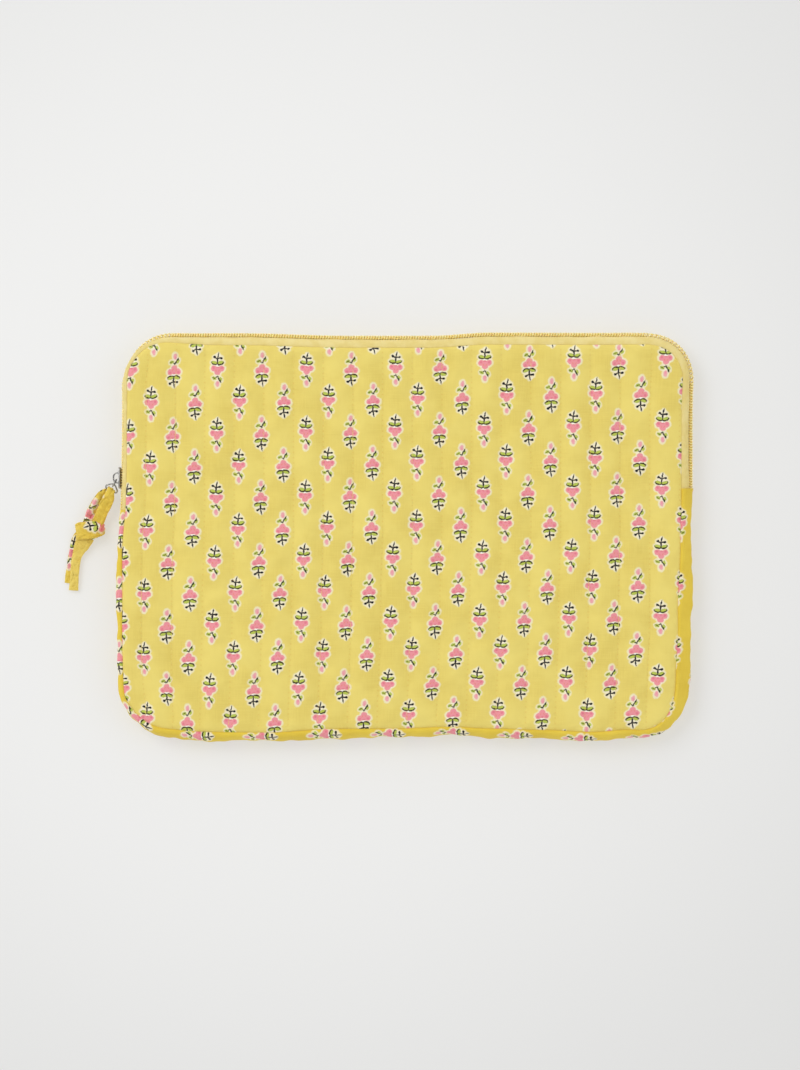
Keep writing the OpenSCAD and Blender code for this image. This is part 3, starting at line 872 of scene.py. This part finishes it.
def slider():
    """Two plates joined by a bridge, with a lip at the back coil, and a crown for the link."""
    y0 = 36.0
    shield = [(-6.5, -3.1), (-5.9, -4.0), (-4.8, -4.6), (-1.4, -4.6), (1.2, -4.1), (5.6, -3.8), (6.5, -3.1)]
    shield += [(a, -b) for a, b in shield[::-1]]
    inner = [(-5.9, -2.2), (-5.0, -3.6), (-1.4, -3.8), (5.4, -3.3), (6.2, -2.4)]
    inner += [(a, -b) for a, b in inner[::-1]]

    def stand(a, b, c):
        return (c, y0 + a, MID + b)
    parts = [bevelled("plate", shield, -173.75, -172.55, stand, 0.4),
             bevelled("inner", inner, -168.6, -167.7, stand, 0.3)]
    lip = [(-4.4, -4.55), (-1.4, -4.55), (1.2, -4.05), (6.0, -3.75), (6.0, -3.15), (1.2, -3.45), (-1.4, -3.9),
           (-4.4, -3.9)]
    parts.append(bevelled("lip", lip, -173.2, -171.2, stand, 0.2, 2))  # it holds the back coil
    bridge = [(-5.8, -0.35), (-2.6, -0.35), (-2.2, 0.0), (-2.6, 0.35), (-5.8, 0.35)]
    parts.append(bevelled("bridge", bridge, -172.8, -168.4, stand, 0.1, 2))
    arch = [(-172.9, 33.1), (-174.4, 32.95), (-175.9, 33.35), (-176.8, 34.4), (-177.0, 36.0), (-176.8, 37.6),
            (-175.9, 38.65), (-174.4, 39.05), (-172.9, 38.9)]
    path, at = resample([(a, b, MID) for a, b in arch], spacing=0.3)
    width = 2.1 + 0.5 * np.cos(at / at[-1] * 2 * math.pi)
    v, f = tube(flat_sweep(path, np.array([[0, 0, 1.0]]), width, 0.95))
    parts.append(outward(mesh_object("crown", v, f)))
    foot = [(-3.9, -1.4), (-3.9, 1.4), (-1.9, 1.1), (-1.9, -1.1)]
    for way in (1, -1):
        parts.append(bevelled("foot", [(a * way, b) for a, b in foot], -174.2, -173.3, stand, 0.25, 2))
    return joined("slider_body_metal", parts)


def loop_with_bends(corners, bend):
    """A closed path round corners that all turn left, on arcs of one radius."""
    c = np.asarray(corners, float)
    arcs = []
    for i in range(len(c)):
        come, go = unit(c[i] - c[i - 1]), unit(c[(i + 1) % len(c)] - c[i])
        turn = math.acos(float(np.clip(come @ go, -1, 1)))
        back = bend * math.tan(turn / 2)
        centre = c[i] - come * back + np.array([-come[1], come[0]]) * bend
        a = math.atan2(come[1], come[0]) - math.pi / 2 + np.linspace(0, turn, 7)
        arcs.append(centre + bend * np.stack([np.cos(a), np.sin(a)], -1))
    t = np.linspace(0, 1, 6)[1:-1, None]  # places along a straight
    pts = []
    for arc, after in zip(arcs, arcs[1:] + arcs[:1]):
        pts += [arc, arc[-1] + (after[0] - arc[-1]) * t]
    return np.concatenate(pts)


WIRE_R = 0.45  # of the link and the ring
RING_S, RING_DIP, RING_LEN, RING_W = 3.55, math.radians(25), 4.2, 7.6


def pull_link():
    """A flat oval of wire through the crown."""
    a = np.linspace(-math.pi / 2, math.pi / 2, 15)
    far = np.stack([2.6 + 2 * np.cos(a), MID + 2 * np.sin(a)], -1)
    close = np.stack([2.0 - 2 * np.cos(a), MID - 2 * np.sin(a)], -1)
    loop = np.concatenate([far, close])
    path = pull(np.stack([loop[:, 0], 0 * loop[:, 0], loop[:, 1]], -1))
    v, f = tube(wire(path, WIRE_R, 14, closed=True), closed=True)
    return outward(mesh_object("pull_link_metal", v, f))


def pull_ring():
    """A three-sided loop of wire, with its bar at the strap."""
    shoulder, apex = RING_LEN - 1.6, 1.15
    half = RING_W / 2
    loop = loop_with_bends([(RING_LEN, half), (shoulder, half), (0, apex), (0, -apex), (shoulder, -half),
                            (RING_LEN, -half)], 0.7)
    path = pull(np.stack([RING_S + loop[:, 0] * math.cos(RING_DIP), loop[:, 1],
                          MID - loop[:, 0] * math.sin(RING_DIP)], -1))
    v, f = tube(wire(path, WIRE_R, 14, closed=True), closed=True)
    return outward(mesh_object("pull_ring_metal", v, f))


# ------------ the knotted cotton strip

FLOWER = (PRINT_X + 2 * COLUMN, PRINT_Y + 0.9)  # the middle of an upright sprig on the cloth
STRAP_FLOOR = 0.06  # nothing of the strap lies lower


def band(rows, hint, flower_at, seed, aside=0.0, creases=0.16):
    """A folded strip of cotton through rows of numbers, as above STRANDS. Its width lies about along hint, and
    a sprig of the print lies flower_at along it. Returns its points, faces and places on the cloth."""
    hint = np.array(hint, float)
    p, at = resample([r if len(r) == 6 else (*r, 0) for r in rows], spacing=0.45)
    path = p[:, :3]
    tangent = unit(np.gradient(path, axis=0))
    side = unit(hint - tangent * (tangent @ hint)[:, None])
    up = np.cross(side, tangent)
    tilt = np.radians(p[:, 5])[:, None]
    side, up = side * np.cos(tilt) + up * np.sin(tilt), up * np.cos(tilt) - side * np.sin(tilt)
    a = angles(64)
    u, v = power(np.cos(a), 0.6), power(np.sin(a), 0.7)
    w, t = p[:, 3:4] / 2, p[:, 4:5] / 2
    run = at[:, None]
    groove = 1 - 0.22 * np.exp(-((u[None] * w - 0.35 * w) / 0.45) ** 2)  # where the folded edges meet
    crease = ripple(run, a[None] * 2.2, 5.2, seed) + 0.6 * ripple(run, u[None] * w, 2.6, seed + 1)
    crease -= 2.4 * np.exp(-(ripple(run * 0.3, u[None] * w, 5.0, seed + 5) / 0.3) ** 2)  # soft folds along it
    crease -= 1.68 * np.exp(-(ripple(run * 0.8, u[None] * w * 0.9, 6.5, seed + 6) / 0.22) ** 2)
    ru, rv = u[None] * w * (1 + 0.02 * ripple(at, 0 * at, 7, seed + 2))[:, None], v[None] * t * groove
    rv = rv + np.sign(rv) * creases * crease * np.minimum(1, np.abs(v[None]) * 2)
    ring = path[:, None] + ru[..., None] * side[:, None] + rv[..., None] * up[:, None]
    girth = np.where(v >= 0, u, 2 - u)[None] * w
    places = np.stack(np.broadcast_arrays(girth + FLOWER[0] + aside, run - flower_at + FLOWER[1], 0.0), -1)
    ring[..., 2] = np.maximum(ring[..., 2], STRAP_FLOOR)
    verts, faces = tube(ring)
    caps = np.stack([places[0].mean(0), places[-1].mean(0)])
    return pull(verts), faces, np.concatenate([places.reshape(-1, 3), caps])


# Rows of (along, across, height, width, thickness, tilt if any), in the pull's own directions.
STRANDS = ((36, -2.4, 3.2, 5.4, 2.2, 0), (32, -3.4, 3.6, 5.4, 2.4, -10), (28, -4.0, 4.0, 5.6, 2.6, -20),
           (22.8, -4.4, 4.5, 6.0, 2.7, -28), (16, -4.1, 5.4, 6.2, 2.6, -26), (11.5, -2.9, 6.2, 5.9, 1.9, -14),
           (8.6, -0.7, 6.95, 5.2, 1.0, -3), (7.0, -0.1, 7.3, 5.2, 0.9, 0), (6.28, 0, 8.25, 5.2, 0.9, 0),
           (7.1, 0.1, 9.25, 5.2, 0.9, 0), (8.9, 0.3, 9.3, 5.6, 1.4, 0), (13, 1.2, 8.4, 7.2, 2.4, 8),
           (19.7, 1.5, 7.3, 7.2, 2.8, 12), (24.0, 1.9, 6.6, 7.0, 3.0, 8), (28.0, 2.3, 5.6, 7.0, 3.0, 0),
           (31.6, 2.4, 4.8, 7.0, 3.0, 0), (34.6, 2.2, 4.2, 6.4, 2.6, 0), (37.0, 1.8, 3.6, 6.0, 2.4, 0))
WRAP = ((40.0, -5.0, 1.2, 7.0, 1.4), (39.7, -6.2, 3.2, 9.0, 2.0), (38.5, -5.4, 5.7, 10.4, 2.6),
        (36.8, -2.9, 7.4, 10.8, 3.1), (34.7, 0.2, 8.2, 10.4, 3.5), (32.6, 3.3, 7.8, 10.0, 3.6),
        (31.3, 5.5, 6.2, 8.8, 3.2), (30.8, 6.5, 4.1, 7.4, 2.4), (31.2, 5.9, 1.9, 6.2, 1.6))
TAIL_FRONT = ((38.5, 0.8, 3.8, 8.6, 2.8), (41.5, 0.4, 3.9, 9.6, 2.8), (44.9, 0.2, 3.4, 9.0, 2.5),
              (48.5, 0.2, 2.9, 7.4, 2.2), (54.2, 1.2, 2.6, 5.7, 2.0), (62.8, 4.7, 2.4, 5.3, 1.7),
              (71.7, 8.8, 1.9, 5.7, 1.3))
TAIL_BACK = ((38.5, -3.6, 2.8, 6.4, 2.2), (44, -4.3, 2.0, 6.0, 1.9), (50.6, -2.4, 1.4, 5.8, 1.6),
             (60.1, 0.9, 1.1, 5.8, 1.4), (69.2, 4.4, 0.8, 5.8, 1.2))


def knot_core():
    """The lump of cloth inside the knot, returned as band returns its strip."""
    a, b = np.meshgrid(angles(40), np.linspace(0.08, math.pi - 0.08, 20), indexing="ij")
    x, y, z = 34.5 + 5.4 * np.cos(a) * np.sin(b), 0.3 + 6.6 * np.sin(a) * np.sin(b), 4.0 + 3.9 * np.cos(b)
    z = np.maximum(z + 0.2 * ripple(x, y, 5, 61), STRAP_FLOOR)
    v, f = tube(np.stack([x, y, z], -1).transpose(1, 0, 2))
    return pull(v), f, np.stack([v[:, 1] + FLOWER[0] + 6, v[:, 0], 0 * v[:, 0]], -1)


def strap():
    """One strip: through the ring, knotted, with two tails, of which the front one shows its unprinted side."""
    bands = [band(STRANDS, (0, 1, 0), 10, 51, aside=2.0, creases=0.22),
             band(WRAP, (0.88, 0.48, 0), 20.5, 54, aside=2.5, creases=0.28),
             band(TAIL_FRONT, (0, 1, 0), 0, 57, creases=0.2),
             band(TAIL_BACK, (0, 1, 0), 14, 60, aside=-7.0),
             knot_core()]
    printed, unprinted, raw = 0, 1, 2
    verts, faces, places, index = [], [], [], []
    for (v, f, c), side in zip(bands, (printed, printed, unprinted, printed, printed)):
        base = sum(map(len, verts))
        faces += [tuple(base + i for i in g) for g in f]
        index += [raw if len(g) == 3 else side for g in f]
        verts.append(v)
        places.append(c)
    ob = mesh_object("pull_strap_cotton", np.concatenate(verts), faces, cloth=np.concatenate(places))
    outward(ob)
    ob.data.polygons.foreach_set("material_index", np.array(index, np.int32))
    return ob


# ------------ materials

M_PRINT = fabric("printed_cotton", srgb(240, 219, 118), printed=True, quilted=True)
M_PRINT_BACK = fabric("printed_cotton_strip", srgb(232, 201, 84), printed=True)
M_PLAIN = fabric("unprinted_cotton_strip", srgb(236, 210, 106))
# the cover's printed cotton with a deeper, more saturated ground: painted shade for the sideways strip
M_GUSSET_SHADED = fabric("gusset_cotton", srgb(236, 206, 76), printed=True)
M_LINING = fabric("lining_cotton", srgb(240, 229, 190), pitch=0.5)
M_BINDING = fabric("binding_cotton", srgb(232, 209, 120), pitch=0.35)
M_RAW = fabric("raw_cut_edge", srgb(240, 224, 160), pitch=0.3, rough=0.95)


def tape_material():
    """Woven tape with slanting ribs, and the stitches that hold the coil."""
    mat, nt, p = new_material("zip_tape_weave", 0.8, 0.2, sheen=0.1)
    x, y = cloth_place(nt)
    beat = calc(nt, "SUBTRACT", calc(nt, "FRACT", calc(nt, "DIVIDE", y, COIL_PITCH)), 0.5)
    slant = calc(nt, "ADD", x, calc(nt, "MULTIPLY", calc(nt, "ABSOLUTE", beat), 0.9))
    rib = calc(nt, "SINE", calc(nt, "MULTIPLY", slant, 2 * math.pi / 0.62))
    off = calc(nt, "ABSOLUTE", calc(nt, "SUBTRACT", x, 5.0))
    stitch = calc(nt, "COSINE", calc(nt, "MULTIPLY", y, 2 * math.pi / COIL_PITCH))
    seam = calc(nt, "MULTIPLY", ease(nt, off, 0.35, 0.1), ease(nt, stitch, -0.2, 0.8))
    shade = cloud(nt, vector(nt, x, y), 0.12)
    colour = blend_colour(nt, ease(nt, shade, 0.3, 0.7), srgb(237, 215, 134), srgb(245, 227, 156))
    colour = blend_colour(nt, ease(nt, rib, -1.0, 1.0, 0.0, 0.12), colour, srgb(222, 196, 104))
    colour = blend_colour(nt, calc(nt, "MULTIPLY", seam, 0.3), colour, srgb(196, 160, 66))
    nt.links.new(colour, p.inputs["Base Color"])
    bumped(nt, p, calc(nt, "MULTIPLY_ADD", rib, 0.5, seam), 0.12, 0.6)
    return mat


def coil_material():
    """Nylon, with light that shows through it, and a faint painted glow that lightens the shade between its
    turns.
    """
    mat, nt, p = new_material("zip_coil_nylon", 0.38, 0.5)
    place = vector(nt, *cloth_place(nt))
    paint(nt, p, ease(nt, cloud(nt, place, 0.4), 0.3, 0.7), srgb(246, 226, 150), srgb(252, 238, 176))
    p.inputs["Subsurface Weight"].default_value = 0.3
    # painted light: a faint glow of the nylon itself, which is no lamp
    p.inputs["Emission Color"].default_value = srgb(240, 206, 120)
    p.inputs["Emission Strength"].default_value = 0.07
    p.inputs["Subsurface Radius"].default_value = (0.0008, 0.0006, 0.0003)
    bumped(nt, p, cloud(nt, place, 4.0), 0.02, 0.4)
    return mat


def thread_material():
    mat, nt, p = new_material("sewing_thread", 0.6, 0.3, sheen=0.1)
    x, y = cloth_place(nt)
    twist = calc(nt, "SINE", calc(nt, "MULTIPLY", calc(nt, "ADD", x, y), 2 * math.pi / 0.3))
    paint(nt, p, ease(nt, twist, -1.0, 1.0), srgb(234, 212, 112), srgb(242, 224, 132))
    bumped(nt, p, twist, 0.03, 0.5)
    return mat


def batting_material():
    mat, nt, p = new_material("batting_fibre", 0.95, 0.1, sheen=0.2)
    fluff = cloud(nt, vector(nt, *cloth_place(nt)), 0.8, 6.0, 0.7)
    paint(nt, p, fluff, srgb(226, 224, 216), srgb(244, 243, 238))
    bumped(nt, p, fluff, 0.8, 0.7)
    return mat


def metal_material():
    mat, nt, p = new_material("nickel_plate", 0.22, 0.5, metallic=1.0)
    place = nt.nodes.new("ShaderNodeTexCoord").outputs["Object"]
    fine = cloud(nt, place, 2600.0, 4.0, 0.7)
    broad = cloud(nt, place, 420.0, 3.0)
    paint(nt, p, ease(nt, broad, 0.35, 0.65), srgb(150, 148, 146), srgb(186, 184, 181))
    nt.links.new(ease(nt, calc(nt, "ADD", fine, broad), 0.7, 1.3, 0.14, 0.36), p.inputs["Roughness"])
    bumped(nt, p, fine, 0.01, 0.35)
    return mat


M_TAPE, M_COIL, M_THREAD = tape_material(), coil_material(), thread_material()
M_BATTING, M_METAL = batting_material(), metal_material()


# ------------ pieces

def place_piece(ob, material, nodes, body=None, others=()):
    """Finishes a piece. Without a body its place is baked into its mesh."""
    for m in (material, *others):
        ob.data.materials.append(m)
    if body:
        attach(ob, body)
    else:
        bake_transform(ob)
    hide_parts(*nodes)
    return ob


def pair(name):
    return [f"front_{name}", f"flap_{name}"]


def back_z(x, y):
    return cover_z(x, y, back=True)


def back_lining_z(x, y):
    return lining_z(x, y, back=True)


PAD_DEPTH, LINING_CLEAR = 0.65, 0.5  # from the cover's and the lining's bare faces to the padding
PAD_STEP, PAD_INSET = 2.4, 1.2  # between the padding's points, and from the seam to its edge

front = panel_sheet("front_cover_quilted", cover_z, 1.5, COVER_T, False)
front_cover = place_piece(front, M_PRINT, pair("cover"))
back = panel_sheet("back_cover_quilted", back_z, 1.5, COVER_T, True)
back_cover = place_piece(back, M_PRINT, ["back_cover"], "sleeve")

pad = panel_slab("front_batting_pad", lambda x, y: inside(cover_z, x, y, PAD_DEPTH),
                 lambda x, y: lining_z(x, y) + LINING_CLEAR, PAD_STEP, PAD_INSET)
front_batting = place_piece(pad, M_BATTING, pair("batting"))
pad = panel_slab("back_batting_pad", lambda x, y: back_lining_z(x, y) - LINING_CLEAR,
                 lambda x, y: inside(back_z, x, y, -PAD_DEPTH), PAD_STEP, PAD_INSET)
back_batting = place_piece(pad, M_BATTING, ["back_batting"], "sleeve")

lining = panel_sheet("front_lining_quilted", lining_z, 2.0, LINING_T, True, margin=1.4)
place_piece(lining, M_LINING, pair("lining"))
lining = panel_sheet("back_lining_quilted", back_lining_z, 2.0, LINING_T, False, margin=1.4)
place_piece(lining, M_LINING, ["back_lining"], "sleeve")

thread = quilting_thread("front_quilting_stitches", [(1, cover_z), (-1, lining_z)])
place_piece(thread, M_THREAD, pair("quilting_thread"))
thread = quilting_thread("back_quilting_stitches", [(-1, back_z), (1, back_lining_z)])
place_piece(thread, M_THREAD, ["back_quilting_thread"], "sleeve")

tape = binding("front_seam_binding_strip", 15.3, 71)
place_piece(tape, M_BINDING, pair("seam_binding"))
tape = binding("back_seam_binding_strip", 4.7, 81)
place_piece(tape, M_BINDING, ["back_seam_binding"], "sleeve")

strip = gusset("gusset_cover_strip")
gusset_cover = place_piece(strip, M_GUSSET_SHADED, ["gusset_cover"], "sleeve")
BAR = [(6.6, 3.4), (8.2, 4.2), (9.3, 6.4), (9.9, 8.4), (10.1, 10), (9.9, 11.6), (9.3, 13.6), (8.2, 15.8),
       (6.6, 16.6), (6.3, 15.9), (7.4, 14.4), (8.1, 12.2), (8.35, 10), (8.1, 7.8), (7.4, 5.6), (6.3, 4.1)]
pad = rim_tube("gusset_batting_strip", ZIP_LEFT, ZIP_RIGHT, -1, BAR)
gusset_batting = place_piece(pad, M_BATTING, ["gusset_batting"], "sleeve")
LINER = [(5.3, 3.9), (6.6, 5.0), (7.5, 7.4), (7.8, 10), (7.5, 12.6), (6.6, 15.0), (5.3, 16.1)]
lining = rim_sheet("gusset_lining_strip", ZIP_LEFT + 0.5, ZIP_RIGHT + 0.5, -1, LINER, 17, LINING_T, 43,
                   rough=0.2)
place_piece(lining, M_LINING, ["gusset_lining"], "sleeve")

TAPE = [(5.1, 17.45), (6.2, 17.55), (7.4, 17.3), (8.3, 16.6), (8.9, 15.6), (9.05, 14.2), (9.02, 10.8)]
TAPE_BACK = [(n, TOP - z) for n, z in TAPE]
tape = rim_sheet("zip_tape_front_half", ZIP_LEFT - 1, ZIP_RIGHT - 1, 1, TAPE, 13, TAPE_T, 45)
place_piece(tape, M_TAPE, ["zip_tape_front_ends", "zip_tape_flap"])
tape = rim_sheet("zip_tape_back_half", ZIP_LEFT - 1, ZIP_RIGHT - 1, 1, TAPE_BACK, 13, TAPE_T, 47, flip=True)
place_piece(tape, M_TAPE, ["zip_tape_back"], "sleeve")
place_piece(coil("zip_coil_front_half", 1), M_COIL, ["zip_coil_front_ends", "zip_coil_flap"])
place_piece(coil("zip_coil_back_half", -1), M_COIL, ["zip_coil_back"], "sleeve")

place_piece(slider(), M_METAL, ["slider_body"], "slider")
place_piece(pull_link(), M_METAL, ["pull_link"], "link")
place_piece(pull_ring(), M_METAL, ["pull_ring"], "ring")
place_piece(strap(), M_PRINT_BACK, ["pull_strap"], "strap", others=(M_PLAIN, M_RAW))


# ------------ floor, light and camera

def studio_floor():
    """White paper that glows as painted light, a little more around the sleeve."""
    me = bpy.data.meshes.new("floor")
    half, low = 4.0, -0.0004
    corners = [(-half, -half, low), (half, -half, low), (half, half, low), (-half, half, low)]
    me.from_pydata(corners, [], [(0, 1, 2, 3)])
    ob = bpy.data.objects.new("floor", me)
    bpy.context.scene.collection.objects.link(ob)
    mat, nt, p = new_material("floor_paper", 0.9, 0.1)
    place = nt.nodes.new("ShaderNodeTexCoord").outputs["Object"]
    paint(nt, p, cloud(nt, place, 3.0), srgb(176, 176, 175), srgb(178, 178, 177))
    # painted light: the paper glows, brightest around the sleeve and fading outwards, which also softens the
    # shadows near it
    p.inputs["Emission Color"].default_value = (1.0, 1.0, 0.99, 1)
    parts = nt.nodes.new("ShaderNodeSeparateXYZ")
    nt.links.new(place, parts.inputs[0])
    aside = calc(nt, "ADD", parts.outputs[0], 0.08)
    along = calc(nt, "SUBTRACT", parts.outputs[1], 0.03)
    squares = calc(nt, "MULTIPLY_ADD", aside, aside, calc(nt, "MULTIPLY", along, along))
    off = calc(nt, "SQRT", squares)
    nt.links.new(ease(nt, off, 0.16, 0.5, 0.45, 0.35), p.inputs["Emission Strength"])
    me.materials.append(mat)


def soft_light(name, at, size, watts):
    """A square light that faces the sleeve."""
    data = bpy.data.lights.new(name, "AREA")
    data.shape, data.size = "SQUARE", size
    data.energy = watts
    ob = bpy.data.objects.new(name, data)
    ob.location = at
    ob.rotation_euler = (-Vector(at)).to_track_quat("-Z", "Y").to_euler()
    bpy.context.scene.collection.objects.link(ob)


def studio():
    """The floor, the light and a camera straight above."""
    studio_floor()
    world = bpy.data.worlds.new("studio")
    world.use_nodes = True
    nt = world.node_tree
    way = nt.nodes.new("ShaderNodeTexCoord")
    parts = nt.nodes.new("ShaderNodeSeparateXYZ")
    nt.links.new(way.outputs["Generated"], parts.inputs[0])
    sky = ease(nt, parts.outputs[2], 0.3, 0.95, 1.15, 0.55)  # bright walls, a darker ceiling
    back = nt.nodes["Background"]
    nt.links.new(blend_colour(nt, 0.0, sky, (1, 1, 1, 1)), back.inputs["Color"])
    back.inputs["Strength"].default_value = 0.8
    bpy.context.scene.world = world
    soft_light("key", (-1.5, 1.1, 2.2), 1.6, 26)
    soft_light("fill", (1.6, 0.4, 2.4), 2.2, 9)
    bpy.context.scene.view_settings.view_transform = "Standard"
    cam = bpy.data.cameras.new("camera")
    cam.sensor_fit, cam.sensor_width = "AUTO", 36.0
    distance, frame_height = 2.0, 646.3 * MM
    cam.lens = 36.0 * (distance - MID * MM) / frame_height
    cam.clip_start, cam.clip_end = 0.05, 20
    ob = bpy.data.objects.new("camera", cam)
    ob.location = (-3.93 * MM, 1.5 * MM, distance)
    bpy.context.scene.collection.objects.link(ob)
    bpy.context.scene.camera = ob


studio()
